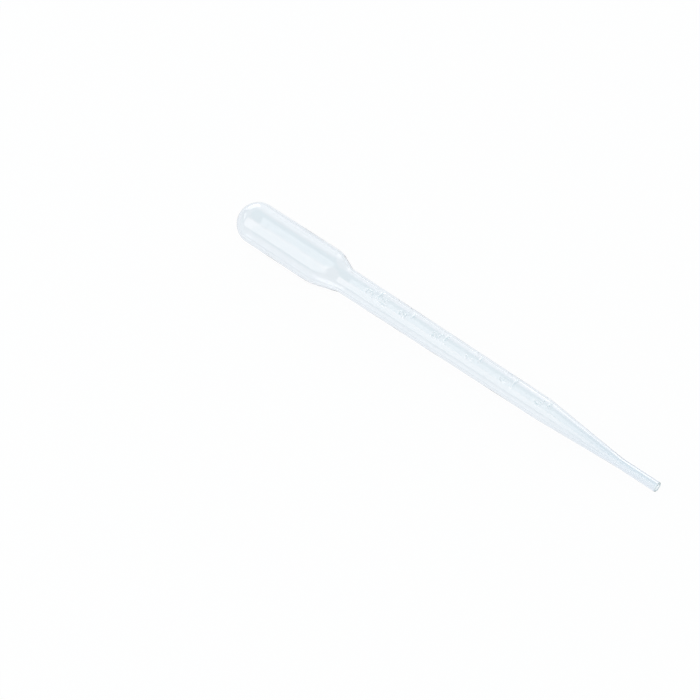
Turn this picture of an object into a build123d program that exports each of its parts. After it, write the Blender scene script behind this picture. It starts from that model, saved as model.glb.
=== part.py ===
"""Graduated dropper pipette, blow-moulded in one piece from translucent polyethylene.

A closed squeeze bulb narrows through a slanted shoulder into a graduated stem,
which tapers to an open nozzle. The pipette lies on its side, as it comes to
rest: it touches the surface below the shoulder, at the stem's end and at the
tip. +X runs from the closed end to the tip and +Z is up. All sizes are in
millimetres.
"""

import os
from math import atan2, cos, hypot, radians, sin, tan

from build123d import *

# Squeeze bulb: a plain tube with a round closed end
bulb_diameter = 13.1
bulb_length = 33.6  # closed end to the shoulder, along the axis
bulb_wall = 0.45

# Shoulder: it starts on a slanted plane, later on top and earlier below
shoulder_slant = 3.4  # how far the top of that plane lies past its middle
shoulder_length = 7.4
shoulder_start_round = 4.0
shoulder_end_round = 2.0

# Graduated stem: it narrows slightly towards the tip
stem_start_diameter = 8.05
stem_end_diameter = 7.05
stem_length = 74.0
stem_wall = 0.45
stem_end_round = 25.0

# Taper and nozzle: the nozzle is bent a little aside and down
taper_length = 27.0
nozzle_length = 13.0
nozzle_diameter = 3.0
nozzle_bore = 2.0
nozzle_aside = 0.65  # how far its axis lies from the stem's, towards -Y
bend_start = 2.0  # how far past the stem's end the bend starts

# Graduations: a raised bar each half millilitre, with its number on the bulb's side
marks = ["0.5", "1.0", "1.5", "2.0", "2.5", "3.0"]
first_mark_from_tip = 38.2
mark_spacing = 12.4
mark_width = 0.6
whole_mark_length = 3.9
half_mark_length = 2.0
mark_relief = 0.2
digit_height = 2.7
digit_width = 1.45
digit_stroke = 0.4
point_gap = 0.8  # from each digit's edge to the middle of the decimal point
number_gap = 1.5  # clear space between a bar and its number
unit_gap = 0.5  # clear space between the last bar and the unit below it
unit_height = 2.0

bulb_radius = bulb_diameter / 2
stem_start_radius = stem_start_diameter / 2
stem_end_radius = stem_end_diameter / 2
nozzle_radius = nozzle_diameter / 2
shoulder_end = bulb_length + shoulder_length
stem_end = shoulder_end + stem_length
taper_end = stem_end + taper_length
tip = taper_end + nozzle_length

# The bulb's last point and the stem's end touch the surface and set the angle
# at rest, and the nozzle is bent down until it touches too
contact = bulb_length - shoulder_slant
rest_angle = atan2(bulb_radius - stem_end_radius, stem_end - contact)
nozzle_drop = bulb_radius - (tip - contact) * tan(rest_angle) - nozzle_radius
forward = Vector(cos(rest_angle), 0, -sin(rest_angle))
upward = Vector(sin(rest_angle), 0, cos(rest_angle))

# The closed end lies so that the whole pipette is centred over the origin
rear = bulb_radius * cos(rest_angle) - bulb_radius
front = tip * cos(rest_angle) + (nozzle_radius - nozzle_drop) * sin(rest_angle)
closed_end = Vector(
    -(rear + front) / 2,
    0,
    contact * sin(rest_angle) + bulb_radius * cos(rest_angle),
)

# Sections along the axis are drawn on this upright plane: x forward, y upward
side = Plane(origin=closed_end, x_dir=forward, z_dir=(0, -1, 0))


def on_axis(distance):
    """The point on the stem's axis at this distance from the closed end."""
    return closed_end + forward * distance


def station(distance):
    """The plane square to the axis at this distance: x is upward and y is -Y."""
    return Plane(origin=on_axis(distance), x_dir=upward, z_dir=forward)


slant_rise = upward * bulb_radius + forward * shoulder_slant
slant_plane = Plane(
    origin=on_axis(bulb_length),
    x_dir=slant_rise,
    z_dir=forward * bulb_radius - upward * shoulder_slant,
)
slant_stretch = hypot(bulb_radius, shoulder_slant) / bulb_radius


def ring_at(form, distance):
    """The form's round edges whose centre is on the axis at this distance."""
    centre = on_axis(distance)
    rings = form.edges().filter_by(GeomType.CIRCLE)
    return [ring for ring in rings if (ring.arc_center - centre).length < 0.01]


def tube_form(bulb_r, stem_start_r, stem_end_r, nozzle_r, end):
    """A solid of the pipette's form with these radii, up to the end distance.

    Its corners are rounded where the bulb, shoulder, stem and taper meet.
    """
    bend_distance = stem_end + bend_start
    bend_r = stem_end_r + (nozzle_r - stem_end_r) * bend_start / taper_length
    with BuildPart() as form:
        with BuildSketch(side):
            with BuildLine():
                CenterArc((bulb_radius, 0), bulb_r, 90, 90)
                Polyline(
                    (bulb_radius, bulb_r),
                    (shoulder_end, bulb_r),
                    (shoulder_end, 0),
                    (bulb_radius - bulb_r, 0),
                )
            make_face()
        revolve(axis=Axis(closed_end, forward))
        split(bisect_by=slant_plane, keep=Keep.BOTTOM)
        with BuildSketch(slant_plane):
            Ellipse(bulb_r * slant_stretch, bulb_r)
        with BuildSketch(station(shoulder_end)):
            Circle(stem_start_r)
        loft(ruled=True)
        with BuildSketch(side) as profile:
            with BuildLine():
                Polyline(
                    (shoulder_end, 0),
                    (shoulder_end, stem_start_r),
                    (stem_end, stem_end_r),
                    (bend_distance, bend_r),
                    (bend_distance, 0),
                    close=True,
                )
            make_face()
            fillet(profile.vertices().group_by(Axis.X)[1], stem_end_round)
        revolve(axis=Axis(closed_end, forward))
        with BuildSketch(station(bend_distance)):
            Circle(bend_r)
        with BuildSketch(station(taper_end)):
            with Locations((-nozzle_drop, nozzle_aside)):
                Circle(nozzle_r)
        loft(ruled=True)
        with BuildSketch(station(taper_end)):
            with Locations((-nozzle_drop, nozzle_aside)):
                Circle(nozzle_r)
        extrude(amount=end - taper_end)
        fillet(form.edges().filter_by(GeomType.ELLIPSE), shoulder_start_round)
        fillet(ring_at(form, shoulder_end), shoulder_end_round)
    return form.part


def draw_zero(x, y, half_width, half_height):
    with Locations((x, y)):
        Ellipse(half_width + digit_stroke / 2, half_height + digit_stroke / 2)
        Ellipse(half_width - digit_stroke / 2, half_height - digit_stroke / 2, mode=Mode.SUBTRACT)


def draw_one(x, y, half_width, half_height):
    with BuildLine() as path:
        Polyline(
            (x - half_width, y + half_height / 2),
            (x, y + half_height),
            (x, y - half_height),
        )
    trace(path.line, digit_stroke)


def draw_two(x, y, half_width, half_height):
    shoulder = y + half_height - half_width
    with BuildLine() as path:
        CenterArc((x, shoulder), half_width, 180, -180)
        Polyline(
            (x + half_width, shoulder),
            (x - half_width, y - half_height),
            (x + half_width, y - half_height),
        )
    trace(path.line, digit_stroke)


def draw_three(x, y, half_width, half_height):
    bowl = half_height / 2
    for middle, start in ((y + bowl, 150), (y - bowl, 90)):
        with BuildLine() as path:
            CenterArc((x, middle), bowl, start, -240)
        trace(path.line, digit_stroke)


def draw_five(x, y, half_width, half_height):
    bowl = half_height * 0.55
    bowl_centre = y - half_height + bowl
    left = x - bowl * cos(radians(30))
    with BuildLine() as path:
        Polyline(
            (x + half_width, y + half_height),
            (left, y + half_height),
            (left, bowl_centre + bowl / 2),
        )
    trace(path.line, digit_stroke)
    with BuildLine() as path:
        CenterArc((x, bowl_centre), bowl, 150, -300)
    trace(path.line, digit_stroke)


draw_digit = {
    "0": draw_zero,
    "1": draw_one,
    "2": draw_two,
    "3": draw_three,
    "5": draw_five,
}


def draw_number(number, y):
    """A whole digit, a point and a decimal digit, centred across the stem."""
    half_width = (digit_width - digit_stroke) / 2
    half_height = (digit_height - digit_stroke) / 2
    offset = point_gap + digit_width / 2
    draw_digit[number[0]](-offset, y, half_width, half_height)
    draw_digit[number[2]](offset, y, half_width, half_height)
    with Locations((0, y - half_height)):
        Circle(digit_stroke / 2)


def draw_unit(y):
    """The letters ml, with their feet at this height."""
    left = -point_gap - digit_width
    arch = digit_width / 4
    low_top = y + unit_height * 0.65 - arch
    for foot in (left, left + 2 * arch, left + 4 * arch):
        with BuildLine() as path:
            Line((foot, y), (foot, low_top))
        trace(path.line, digit_stroke)
    for middle in (left + arch, left + 3 * arch):
        with BuildLine() as path:
            CenterArc((middle, low_top), arch, 180, -180)
        trace(path.line, digit_stroke)
    with BuildLine() as path:
        Line((point_gap, y), (point_gap, y + unit_height))
    trace(path.line, digit_stroke)


outside = tube_form(
    bulb_radius,
    stem_start_radius,
    stem_end_radius,
    nozzle_radius,
    tip,
)
raised = tube_form(
    bulb_radius + mark_relief,
    stem_start_radius + mark_relief,
    stem_end_radius + mark_relief,
    nozzle_radius + mark_relief,
    tip,
)
bore_past_tip = 1.0
inside = tube_form(
    bulb_radius - bulb_wall,
    stem_start_radius - stem_wall,
    stem_end_radius - stem_wall,
    nozzle_bore / 2,
    tip + bore_past_tip,
)

# The graduations are drawn as seen from above, reading across the stem
marks_plane = Plane(origin=closed_end, x_dir=(0, 1, 0), z_dir=upward)

with BuildPart() as graduations:
    with BuildSketch(marks_plane):
        for index, number in enumerate(marks):
            distance = tip - first_mark_from_tip - index * mark_spacing
            whole = number.endswith("0")
            with Locations((0, -distance)):
                Rectangle(whole_mark_length if whole else half_mark_length, mark_width)
            number_foot = distance - mark_width / 2 - number_gap
            draw_number(number, digit_height / 2 - number_foot)
        draw_unit(-distance - mark_width / 2 - unit_gap - unit_height)
    extrude(amount=bulb_radius)
    add(raised, mode=Mode.INTERSECT)

with BuildPart() as pipette:
    add(outside)
    add(graduations.part)
    add(inside, mode=Mode.SUBTRACT)

pipette.part.label = "pipette"
os.makedirs("parts", exist_ok=True)
export_step(pipette.part, "parts/pipette.step")
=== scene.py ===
"""A graduated dropper pipette of translucent polyethylene, lying on a white floor.

One closed mesh replaces the CAD node: the outside with its raised graduations
and parting line, the rim of the nozzle, and the inside. A place on it is given
by its distance from the closed end along the axis, u, and by the angle from
the top, phi. The pipette's sizes are in millimetres, and the lamps, the floor
and the camera's distance are in metres.
"""

from math import atan2, cos, pi, radians, sin, tan

import bmesh
import bpy
import numpy as np
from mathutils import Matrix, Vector


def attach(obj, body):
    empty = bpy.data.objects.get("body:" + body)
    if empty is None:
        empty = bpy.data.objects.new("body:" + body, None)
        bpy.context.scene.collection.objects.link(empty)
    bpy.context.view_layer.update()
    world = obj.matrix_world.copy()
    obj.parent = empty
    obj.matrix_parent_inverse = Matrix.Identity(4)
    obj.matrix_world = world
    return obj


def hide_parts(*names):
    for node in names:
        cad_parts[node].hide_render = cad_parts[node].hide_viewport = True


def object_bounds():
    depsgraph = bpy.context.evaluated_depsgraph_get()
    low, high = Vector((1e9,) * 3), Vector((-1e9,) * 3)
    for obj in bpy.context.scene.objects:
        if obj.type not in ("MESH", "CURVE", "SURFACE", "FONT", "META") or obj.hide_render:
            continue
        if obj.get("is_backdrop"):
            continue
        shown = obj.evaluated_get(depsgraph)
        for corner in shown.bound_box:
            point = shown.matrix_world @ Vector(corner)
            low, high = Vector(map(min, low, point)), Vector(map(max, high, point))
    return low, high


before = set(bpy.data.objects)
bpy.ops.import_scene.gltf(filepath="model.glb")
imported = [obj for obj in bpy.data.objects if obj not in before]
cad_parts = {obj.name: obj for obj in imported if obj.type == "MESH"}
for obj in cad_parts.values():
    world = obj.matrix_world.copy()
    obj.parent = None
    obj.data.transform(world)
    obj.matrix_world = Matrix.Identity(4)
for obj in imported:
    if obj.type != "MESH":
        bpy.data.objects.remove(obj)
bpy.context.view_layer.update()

MM = 0.001

# The CAD model's sizes
bulb_radius = 6.55
bulb_length = 33.6
shoulder_slant = 3.4
shoulder_end = 41.0
stem_start_radius = 4.025
stem_end_radius = 3.525
stem_end = 115.0
taper_end = 142.0
tip = 155.0
nozzle_radius = 1.5
bore_radius = 1.0
nozzle_aside = 0.65
wall = 0.45
nozzle_wall = nozzle_radius - bore_radius

# It lies on the underside of the bulb's end, the stem's end and the tip
contact = bulb_length - shoulder_slant
rest_angle = atan2(bulb_radius - stem_end_radius, stem_end - contact)
nozzle_drop = bulb_radius - (tip - contact) * tan(rest_angle) - nozzle_radius
forward = np.array((cos(rest_angle), 0, -sin(rest_angle)))
upward = np.array((sin(rest_angle), 0, cos(rest_angle)))
aside = np.array((0, -1, 0))
rear = bulb_radius * cos(rest_angle) - bulb_radius
front = tip * cos(rest_angle) + (nozzle_radius - nozzle_drop) * sin(rest_angle)
closed_end = np.array(
    (
        -(rear + front) / 2,
        0,
        contact * sin(rest_angle) + bulb_radius * cos(rest_angle),
    )
)

# Graduations: the CAD model's places and lengths, with soft sloping sides
marks = ["0.5", "1.0", "1.5", "2.0", "2.5", "3.0"]
first_mark_from_tip = 38.2
mark_spacing = 12.4
mark_width = 0.6
whole_mark_length = 3.9
half_mark_length = 2.0
bar_relief = 0.26
bar_flank = 0.56  # how far a bar's slopes reach from its middle line
digit_relief = 0.26
digit_flank = 0.38
digit_height = 2.7
digit_width = 1.45
digit_stroke = 0.4
point_gap = 0.8
number_gap = 1.5
unit_gap = 0.5
unit_height = 2.0


# ---------------------------------------------------------------- strokes
def arc(x, y, radius, start, sweep, steps=14):
    """Points on an arc round (x, y), with angles in degrees."""
    angles = np.radians(np.linspace(start, start + sweep, steps))
    return [(x + radius * cos(a), y + radius * sin(a)) for a in angles]


# Each digit is centred on (x, y) and reaches w to its sides and h up and down
def zero(x, y, w, h):
    turn = np.linspace(0, 2 * pi, 29)
    return [[(x + w * cos(a), y + h * sin(a)) for a in turn]]


def one(x, y, w, h):
    return [[(x - w, y + h / 2), (x, y + h), (x, y - h)]]


def two(x, y, w, h):
    return [arc(x, y + h - w, w, 180, -180) + [(x - w, y - h), (x + w, y - h)]]


def three(x, y, w, h):
    return [arc(x, y + h / 2, h / 2, 150, -240), arc(x, y - h / 2, h / 2, 90, -240)]


def five(x, y, w, h):
    bowl = h * 0.55
    middle = y - h + bowl
    left = x - bowl * cos(radians(30))
    return [
        [(x + w, y + h), (left, y + h), (left, middle + bowl / 2)],
        arc(x, middle, bowl, 150, -300, 22),
    ]


draw_digit = {"0": zero, "1": one, "2": two, "3": three, "5": five}


def number_strokes(number, y):
    """A whole digit, a decimal digit and the point between them, at height y."""
    w = (digit_width - digit_stroke) / 2
    h = (digit_height - digit_stroke) / 2
    offset = point_gap + digit_width / 2
    point = [[(0, y - h), (0, y - h)]]
    whole, decimal = draw_digit[number[0]], draw_digit[number[2]]
    return whole(-offset, y, w, h) + decimal(offset, y, w, h) + point


def unit_strokes(y):
    """The letters ml, with their feet at height y."""
    left = -point_gap - digit_width
    arch = digit_width / 4
    low_top = y + unit_height * 0.65 - arch
    strokes = [[(left + k * arch, y), (left + k * arch, low_top)] for k in (0, 2, 4)]
    strokes += [arc(left + k * arch, low_top, arch, 180, -180) for k in (1, 3)]
    return strokes + [[(point_gap, y), (point_gap, y + unit_height)]]


# Each group of strokes lies between two distances; x is towards +Y and y = -distance
groups = []
bars = []
for index, number in enumerate(marks):
    distance = tip - first_mark_from_tip - index * mark_spacing
    length = whole_mark_length if number.endswith("0") else half_mark_length
    bars.append((distance, length))
    foot = distance - mark_width / 2 - number_gap
    groups.append(number_strokes(number, digit_height / 2 - foot))
groups.append(unit_strokes(-distance - mark_width / 2 - unit_gap - unit_height))


def stroke_distance(x, y, strokes):
    """The distance from each point (x, y) to the nearest stroke."""
    nearest = np.full(x.shape, 9.0)
    for stroke in strokes:
        for (ax, ay), (bx, by) in zip(stroke, stroke[1:]):
            dx, dy = bx - ax, by - ay
            length = dx * dx + dy * dy
            if length:
                t = np.clip(((x - ax) * dx + (y - ay) * dy) / length, 0, 1)
            else:
                t = 0.0
            nearest = np.minimum(nearest, np.hypot(x - ax - t * dx, y - ay - t * dy))
    return nearest


def step(value, low, high):
    """0 below low, 1 above high, and smooth between them."""
    t = np.clip((value - low) / (high - low), 0, 1)
    return t * t * (3 - 2 * t)


def ridge(off, half_width, flank):
    """A ridge with straight flanks: 1 on a mark's middle line, 0 a flank away."""
    return np.clip(1 - (off + half_width) / flank, 0, 1)


# How much lower the relief is towards +Y, where steep clear plastic turns black
bar_fade = 0.8
digit_fade = 0.85
digit_margin = 1.0  # no stroke's slope reaches farther than this


def relief(u, x):
    """The height of the graduations at distance u and at x across the stem."""
    height = np.zeros(u.shape)
    for distance, length in bars:
        off = np.maximum(
            abs(u - distance) - mark_width / 2,
            abs(x) - length / 2,
        )
        rise = bar_relief * ridge(off, mark_width / 2, bar_flank)
        height = np.maximum(height, rise * (1 - bar_fade * step(x, 0.9, 1.9)))
    for strokes in groups:
        ys = [-y for stroke in strokes for _, y in stroke]
        near = (u > min(ys) - digit_margin) & (u < max(ys) + digit_margin)
        if near.any():
            off = stroke_distance(x[near], -u[near], strokes) - digit_stroke / 2
            rise = digit_relief * ridge(off, digit_stroke / 2, digit_flank)
            rise = rise * (1 - digit_fade * step(x[near], -0.1, 1))
            height[near] = np.maximum(height[near], rise)
    return height


# ---------------------------------------------------------------- form
def ramp(x, reach):
    """0 before the corner at x = 0 and x after it, rounded within reach of it."""
    inside = (x + reach) ** 2 / (4 * reach)
    return np.where(x < -reach, 0, np.where(x > reach, x, inside))


# How far the rounding of each corner of the form reaches, to either side
shoulder_start_reach = 0.65
extra_reach_below = 3.4
shoulder_end_reach = 0.6
bend_reach = 1.5


def form_radius(u, phi):
    """The outside's radius past the dome, without the graduations."""
    start = bulb_length + shoulder_slant * np.cos(phi)
    below = (1 - np.cos(phi)) / 2
    slope = (stem_start_radius - bulb_radius) / (shoulder_end - start)
    stem_slope = (stem_end_radius - stem_start_radius) / (stem_end - shoulder_end)
    taper_slope = (nozzle_radius - stem_end_radius) / (taper_end - stem_end)
    start_reach = shoulder_start_reach + extra_reach_below * below
    r = bulb_radius + slope * ramp(u - start, start_reach)
    r = r + (stem_slope - slope) * ramp(u - shoulder_end, shoulder_end_reach)
    r = r + (taper_slope - stem_slope) * ramp(u - stem_end, bend_reach)
    return r - taper_slope * ramp(u - taper_end, bend_reach)


def middle(u):
    """The middle of the section at distance u."""
    bend = ramp(u - stem_end, bend_reach) - ramp(u - taper_end, bend_reach)
    bend = np.asarray(bend / (taper_end - stem_end))[..., None]
    along = np.asarray(u)[..., None] * forward
    return closed_end + along + bend * (nozzle_aside * aside - nozzle_drop * upward)


seam_height = 0.025
seam_reach = 0.12


def seam(u, r, phi):
    """The parting line's height: a fine ridge along both sides, none on the end."""
    off = r * (abs((phi + pi) % (2 * pi) - pi) - pi / 2)
    return seam_height * np.exp(-((off / seam_reach) ** 2)) * step(u, 3, 6)


wave_height = 0.02
wave_fade = 20  # how far before the nozzle the unevenness starts to fade


def waves(u, phi):
    """Slow unevenness of a blown wall, between about -1 and 1."""
    return (
        np.sin(0.31 * u + 1.3 * np.sin(phi) + 0.4)
        + 0.7 * np.sin(0.53 * u - 2 * phi + 1.9)
        + 0.5 * np.sin(0.17 * u + 3 * phi + 4.1)
    ) / 2.2


# Columns round the pipette, in degrees from the top: fine across the graduations
# and at the parting line
graduated = np.linspace(-39, 39, 59)
near_side = np.concatenate(
    [np.arange(42.5, 88, 3.5), [88.4, 89.3, 90, 90.7, 91.6], np.arange(93, 179, 3.5)]
)
phis = np.radians(np.concatenate([graduated, near_side, [180], -near_side[::-1]]))

# Rows along it: by angle on the dome, then by distance, closer together on the
# shoulder and closest at the graduations
dome = np.radians(np.arange(6, 91, 6))
fine_zones = []
for index, number in enumerate(marks):
    distance = tip - first_mark_from_tip - index * mark_spacing
    fine_zones.append((distance - bar_flank - 0.1, distance + bar_flank + 0.1))
    foot = distance - mark_width / 2 - number_gap
    fine_zones.append((foot - digit_height - 0.15, foot + 0.15))
unit_start = distance + mark_width / 2 + unit_gap - 0.35
fine_zones.append((unit_start, unit_start + unit_height + 0.7))
fine_step = 0.09
clear_of_fine = 0.3
shoulder_from = 24
shoulder_to = 43
rows = list(np.arange(bulb_radius + 1, shoulder_from, 1.0))
rows += list(np.arange(shoulder_from, shoulder_to, 0.4))
rows += list(np.arange(shoulder_to, taper_end, 1.0))
rows += list(np.arange(taper_end, tip - 0.5, 0.8))
for low, high in fine_zones:
    rows = [u for u in rows if not low - clear_of_fine < u < high + clear_of_fine]
    rows += list(np.linspace(low, high, int(round((high - low) / fine_step)) + 1))
rows.sort()


def ring_points(u, r, phi):
    """Points at distance u and radius r, at each phi."""
    out = np.cos(phi)[:, None] * upward + np.sin(phi)[:, None] * aside
    return middle(u) + np.asarray(r)[..., None] * out


def outside_rings():
    """The rings of the outside, and the height of the graduations at their points."""
    rings = []
    lifts = [np.zeros(len(phis) * len(dome))]
    for t in dome:
        u = bulb_radius * (1 - cos(t))
        r = bulb_radius * sin(t) + np.zeros(len(phis))
        rings.append(ring_points(u, r + seam(u, r, phis), phis))
    for u in rows:
        us = np.full(len(phis), u)
        r = form_radius(us, phis)
        x = -r * np.sin(phis)
        lift = relief(us, x) * (np.cos(phis) > 0)
        rings.append(ring_points(u, r + lift + seam(u, r, phis), phis))
        lifts.append(lift)
    return rings, np.concatenate(lifts)


def rim_rings():
    """The slightly rounded rim at the tip, from the outside to the bore."""
    profile = (
        (tip - 0.4, nozzle_radius),
        (tip - 0.15, nozzle_radius),
        (tip - 0.05, nozzle_radius - 0.03),
        (tip, nozzle_radius - 0.1),
        (tip, bore_radius + 0.1),
        (tip - 0.05, bore_radius + 0.03),
        (tip - 0.15, bore_radius),
    )
    return [ring_points(u, np.full(len(phis), r), phis) for u, r in profile]


def inside_rings():
    """The rings of the inside, from the tip back to the dome."""
    rings = []
    nozzle_and_stem = np.arange(tip - 1, shoulder_to, -1.5)
    shoulder = np.arange(shoulder_to, shoulder_from - 1, -0.7)
    bulb = np.arange(shoulder_from - 1, bulb_radius + 1, -1.0)
    for u in np.concatenate([nozzle_and_stem, shoulder, bulb]):
        us = np.full(len(phis), u)
        along_taper = np.clip((u - stem_end) / (taper_end - stem_end), 0, 1)
        thickness = wall + (nozzle_wall - wall) * along_taper
        fade = np.clip((taper_end - u) / wave_fade, 0, 1)
        r = form_radius(us, phis) - thickness + wave_height * fade * waves(us, phis)
        rings.append(ring_points(u, r, phis))
    for t in dome[::-1]:
        us = bulb_radius * (1 - cos(t)) + wall * cos(t) + np.zeros(len(phis))
        r = (bulb_radius - wall + wave_height * waves(us, phis)) * sin(t)
        rings.append(ring_points(us[0], r, phis))
    return rings


def build_pipette():
    """The pipette's mesh, with the relief's height kept for its material."""
    rings, lifts = outside_rings()
    rings += rim_rings() + inside_rings()
    count = len(phis)
    points = [middle(0.0)] + [p for ring in rings for p in ring] + [middle(wall)]
    faces = []
    for j in range(count):
        k = (j + 1) % count
        faces.append((0, 1 + j, 1 + k))
    for i in range(len(rings) - 1):
        a, b = 1 + i * count, 1 + (i + 1) * count
        for j in range(count):
            k = (j + 1) % count
            faces.append((a + j, b + j, b + k, a + k))
    last, end = 1 + (len(rings) - 1) * count, len(points) - 1
    for j in range(count):
        k = (j + 1) % count
        faces.append((last + j, end, last + k))
    mesh = bpy.data.meshes.new("pipette_body")
    mesh.from_pydata([tuple(np.asarray(p) * MM) for p in points], [], faces)
    work = bmesh.new()
    work.from_mesh(mesh)
    bmesh.ops.recalc_face_normals(work, faces=work.faces)
    work.to_mesh(mesh)
    work.free()
    for polygon in mesh.polygons:
        polygon.use_smooth = True
    heights = np.zeros(len(points))
    heights[1 : 1 + len(lifts)] = lifts
    mesh.attributes.new("relief", "FLOAT", "POINT").data.foreach_set("value", heights)
    piece = bpy.data.objects.new("pipette_body", mesh)
    bpy.context.scene.collection.objects.link(piece)
    return piece


# ---------------------------------------------------------------- materials
def map_range(nodes, from_min, from_max, to_min, to_max):
    """A node that carries one range of values over to another."""
    node = nodes.new("ShaderNodeMapRange")
    node.inputs["From Min"].default_value = from_min
    node.inputs["From Max"].default_value = from_max
    node.inputs["To Min"].default_value = to_min
    node.inputs["To Max"].default_value = to_max
    return node


body_colour = (0.97, 0.984, 0.986, 1)
nozzle_colour = (0.93, 0.955, 0.967, 1)
matt_end = 0.25  # how far the cut end's matt surface reaches
matt_transmission = 0.3
relief_transmission = 0.75


def polyethylene():
    material = bpy.data.materials.new("polyethylene")
    material.use_nodes = True
    nodes, links = material.node_tree.nodes, material.node_tree.links
    shader = nodes["Principled BSDF"]
    shader.inputs["Base Color"].default_value = body_colour
    shader.inputs["IOR"].default_value = 1.5
    shader.inputs["Roughness"].default_value = 0.05
    shader.inputs["Transmission Weight"].default_value = 1
    # Slight unevenness of the moulded surface
    noise = nodes.new("ShaderNodeTexNoise")
    noise.inputs["Scale"].default_value = 500
    noise.inputs["Detail"].default_value = 3
    bump = nodes.new("ShaderNodeBump")
    bump.inputs["Strength"].default_value = 0.02
    bump.inputs["Distance"].default_value = 0.0001
    links.new(noise.outputs["Fac"], bump.inputs["Height"])
    links.new(bump.outputs["Normal"], shader.inputs["Normal"])
    coords = nodes.new("ShaderNodeTexCoord")
    links.new(coords.outputs["Object"], noise.inputs["Vector"])
    gloss = map_range(nodes, 0.3, 0.7, 0.03, 0.07)
    links.new(noise.outputs["Fac"], gloss.inputs["Value"])
    links.new(gloss.outputs["Result"], shader.inputs["Roughness"])
    split = nodes.new("ShaderNodeSeparateXYZ")
    links.new(coords.outputs["Object"], split.inputs[0])
    # The base colour is darker over the taper and the nozzle
    start, full = closed_end[0] + stem_end, closed_end[0] + taper_end
    share = map_range(nodes, start * MM, full * MM, 0, 1)
    links.new(split.outputs["X"], share.inputs["Value"])
    tint = nodes.new("ShaderNodeMix")
    tint.data_type = "RGBA"
    tint.inputs["A"].default_value = body_colour
    tint.inputs["B"].default_value = nozzle_colour
    links.new(share.outputs["Result"], tint.inputs["Factor"])
    links.new(tint.outputs["Result"], shader.inputs["Base Color"])
    # The cut end of the nozzle is matt
    start = closed_end[0] + front - matt_end
    clear = map_range(nodes, (start - 0.05) * MM, start * MM, 1, matt_transmission)
    links.new(split.outputs["X"], clear.inputs["Value"])
    # The relief is a little milky
    raised = nodes.new("ShaderNodeAttribute")
    raised.attribute_name = "relief"
    milky = map_range(nodes, 0.02, 0.14, 1, relief_transmission)
    links.new(raised.outputs["Fac"], milky.inputs["Value"])
    both = nodes.new("ShaderNodeMath")
    both.operation = "MULTIPLY"
    links.new(clear.outputs["Result"], both.inputs[0])
    links.new(milky.outputs["Result"], both.inputs[1])
    links.new(both.outputs[0], shader.inputs["Transmission Weight"])
    absorb = nodes.new("ShaderNodeVolumeAbsorption")
    absorb.inputs["Color"].default_value = (0.24, 0.44, 0.72, 1)
    absorb.inputs["Density"].default_value = 160
    links.new(absorb.outputs["Volume"], nodes["Material Output"].inputs["Volume"])
    return material


white_share = 0.97  # the rest of the floor's look is lit, and shows the shadow


def background_ray(nodes, links):
    """1 for the rays that see the background: camera, glossy and transmission."""
    path = nodes.new("ShaderNodeLightPath")
    either = path.outputs["Is Camera Ray"]
    for name in ("Is Glossy Ray", "Is Transmission Ray"):
        most = nodes.new("ShaderNodeMath")
        most.operation = "MAXIMUM"
        links.new(either, most.inputs[0])
        links.new(path.outputs[name], most.inputs[1])
        either = most.outputs[0]
    return either


def white_floor():
    """White to the rays that see the background, and faintly shaded all the same."""
    material = bpy.data.materials.new("white_floor")
    material.use_nodes = True
    nodes, links = material.node_tree.nodes, material.node_tree.links
    nodes.remove(nodes["Principled BSDF"])
    diffuse = nodes.new("ShaderNodeBsdfDiffuse")
    diffuse.inputs["Color"].default_value = (0.92, 0.92, 0.92, 1)
    glow = nodes.new("ShaderNodeEmission")
    share = nodes.new("ShaderNodeMath")
    share.operation = "MULTIPLY"
    share.inputs[1].default_value = white_share
    links.new(background_ray(nodes, links), share.inputs[0])
    mix = nodes.new("ShaderNodeMixShader")
    links.new(share.outputs[0], mix.inputs["Fac"])
    links.new(diffuse.outputs[0], mix.inputs[1])
    links.new(glow.outputs[0], mix.inputs[2])
    links.new(mix.outputs[0], nodes["Material Output"].inputs["Surface"])
    return material


piece = build_pipette()
piece.data.materials.append(polyethylene())
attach(piece, "root")
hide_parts("pipette")

# ---------------------------------------------------------------- surroundings
bpy.ops.mesh.primitive_plane_add(size=3, location=(0, 0, -0.00003))
floor = bpy.context.object
floor.name = "floor"
floor.data.materials.append(white_floor())
floor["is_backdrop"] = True

# Pale walls and a darker, bluish ceiling, and white where the camera sees past
# the floor
room_walls = (0.66, 0.72, 0.74, 1)
room_ceiling = (0.08, 0.42, 0.5, 1)
world = bpy.data.worlds.new("studio")
bpy.context.scene.world = world
world.use_nodes = True
nodes, links = world.node_tree.nodes, world.node_tree.links
coords = nodes.new("ShaderNodeTexCoord")
split = nodes.new("ShaderNodeSeparateXYZ")
links.new(coords.outputs["Generated"], split.inputs[0])
height = map_range(nodes, 0.76, 0.81, 0, 1)  # the walls' top, as a sine
links.new(split.outputs["Z"], height.inputs["Value"])
mix = nodes.new("ShaderNodeMix")
mix.data_type = "RGBA"
mix.inputs["A"].default_value = room_walls
mix.inputs["B"].default_value = room_ceiling
links.new(height.outputs["Result"], mix.inputs["Factor"])
path = nodes.new("ShaderNodeLightPath")
seen = nodes.new("ShaderNodeMix")
seen.data_type = "RGBA"
seen.inputs["B"].default_value = (1, 1, 1, 1)
links.new(path.outputs["Is Camera Ray"], seen.inputs["Factor"])
links.new(mix.outputs["Result"], seen.inputs["A"])
links.new(seen.outputs["Result"], nodes["Background"].inputs["Color"])


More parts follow.
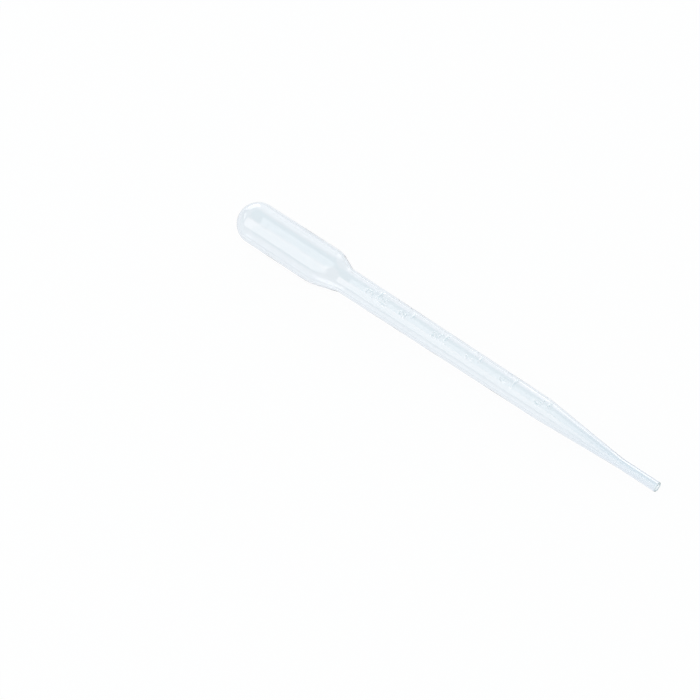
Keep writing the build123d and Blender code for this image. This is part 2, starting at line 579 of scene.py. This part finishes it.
def softbox(name, foot, azimuth, elevation, reach, width, height, radiance):
    """A rectangular lamp that faces the foot, a place along X, from that reach.

    The azimuth and elevation of its direction from the foot are in degrees.
    """
    data = bpy.data.lights.new(name, "AREA")
    data.shape = "RECTANGLE"
    data.size, data.size_y = width, height
    data.energy = radiance * pi * width * height
    data.color = (1, 0.86, 0.8)
    lamp = bpy.data.objects.new(name, data)
    turn, lift = radians(azimuth), radians(elevation)
    away = Vector((cos(turn) * cos(lift), sin(turn) * cos(lift), sin(lift)))
    lamp.location = Vector((foot, 0, 0)) + reach * away
    lamp.rotation_euler = (pi / 2 - lift, 0, turn + pi / 2)
    bpy.context.scene.collection.objects.link(lamp)


# The two large ones make the bright patches along the pipette, the next two
# catch the dome and the graduations, and the last two the upper outline
softbox("front", -0.25, -90, 30, 0.65, 0.84, 0.579, 1.55)
softbox("behind", -0.4, 90, 28, 0.65, 1.14, 0.58, 0.5)
softbox("end", 0, 194, 19, 0.8, 0.3, 0.1, 1.8)
softbox("corner", 0, 150, 17, 0.8, 0.5, 0.42, 1.25)
softbox("far", 0, 122, 22, 0.8, 0.5, 0.42, 0.22)
softbox("beyond", 0.03, 100, 22, 0.8, 0.3, 0.42, 0.8)

camera_azimuth = radians(40.906)
camera_elevation = radians(47)
camera_distance = 0.7
aim = Vector((-20.88, -15.89, 0)) * MM
data = bpy.data.cameras.new("camera")
data.sensor_width = 36
data.lens = 124.5
camera = bpy.data.objects.new("camera", data)
back = Vector(
    (
        sin(camera_azimuth) * cos(camera_elevation),
        -cos(camera_azimuth) * cos(camera_elevation),
        sin(camera_elevation),
    )
)
camera.location = aim + back * camera_distance
camera.rotation_mode = "QUATERNION"
camera.rotation_quaternion = back.to_track_quat("Z", "Y")
bpy.context.scene.collection.objects.link(camera)
bpy.context.scene.camera = camera
bpy.context.scene.view_settings.view_transform = "Standard"
bpy.context.scene.cycles.max_bounces = 32
bpy.context.scene.cycles.transmission_bounces = 32
bpy.context.scene.cycles.glossy_bounces = 16

low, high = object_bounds()
